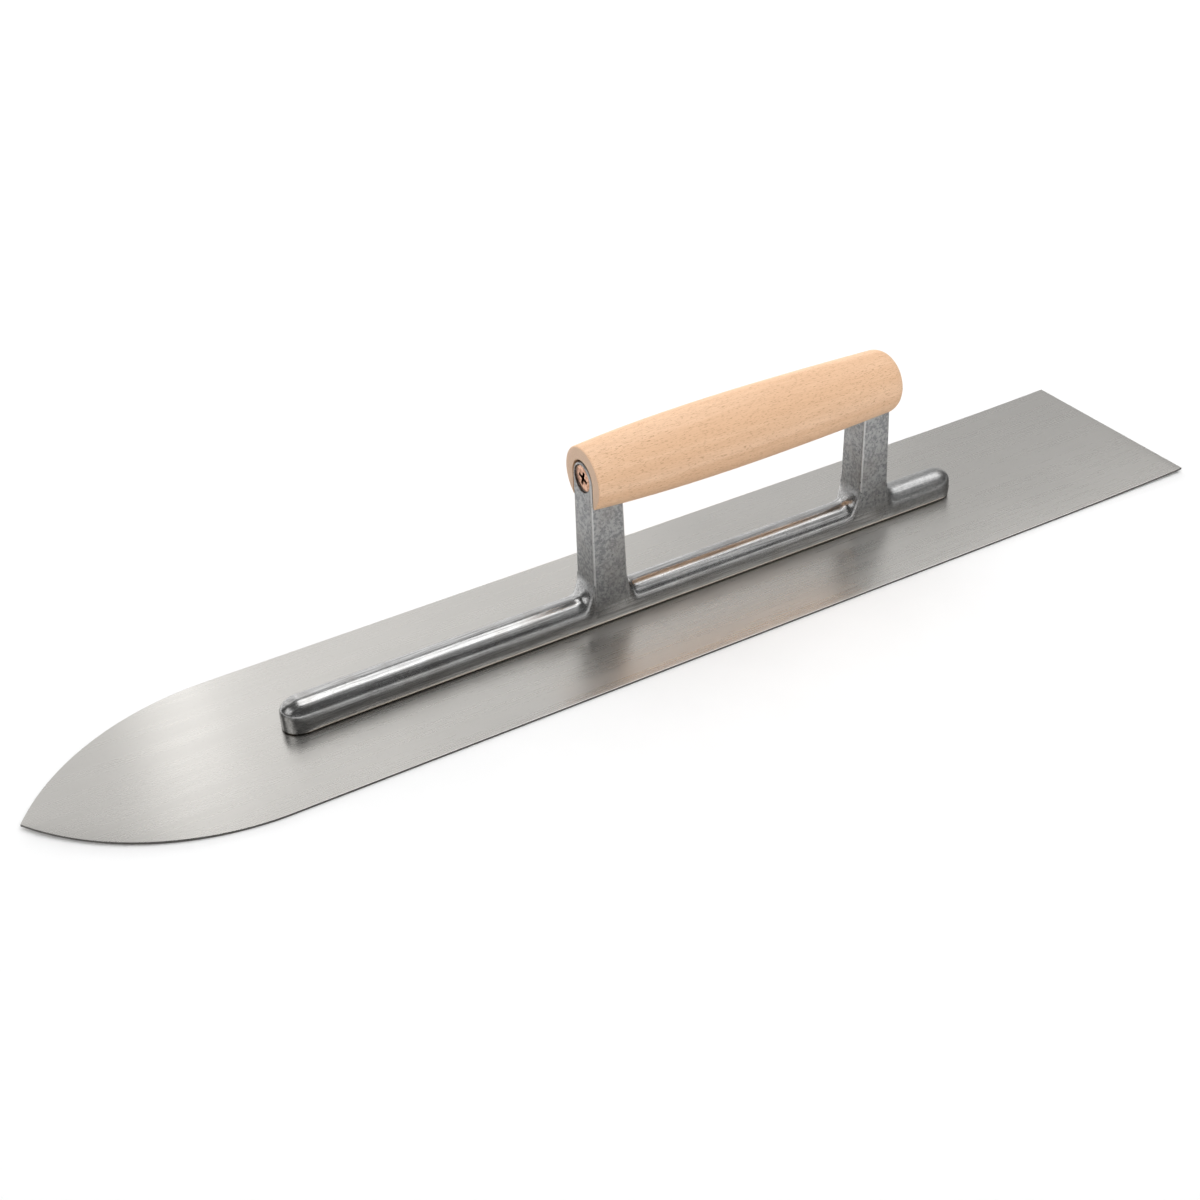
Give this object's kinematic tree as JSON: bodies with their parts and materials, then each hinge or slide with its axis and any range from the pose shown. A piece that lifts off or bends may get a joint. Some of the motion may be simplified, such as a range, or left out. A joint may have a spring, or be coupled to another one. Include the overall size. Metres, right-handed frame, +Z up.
{
  "type": "pointed finishing trowel",
  "caption": "Long pointed finishing trowel: a thin steel blade, a cast rail with two posts, and a turned wooden handle bridging the posts.",
  "frame": {"origin": "centre of the overall box, on the blade's underside", "axes": "+X along the blade from its point to its square end, +Z up from the blade to the handle, +Y to the left when looking along +X"},
  "size_m": [0.5, 0.09, 0.0793],
  "materials": {
    "blade_steel": "fine lengthwise brushing, satin",
    "cast_aluminium": "die-cast skin, rail polished",
    "beech": "sanded, unvarnished beech",
    "screw_brass": "passivated, satin",
    "rivet_steel": "ground flush with the blade"
  },
  "bodies": {
    "root": {"blade": "blade_steel", "mounting": "cast_aluminium", "handle": "beech", "front_screw": "screw_brass", "rear_screw": "screw_brass", "rivet_1": "rivet_steel", "rivet_2": "rivet_steel", "rivet_3": "rivet_steel", "rivet_4": "rivet_steel", "rivet_5": "rivet_steel", "rivet_6": "rivet_steel", "rivet_7": "rivet_steel"}
  },
  "joints": []
}
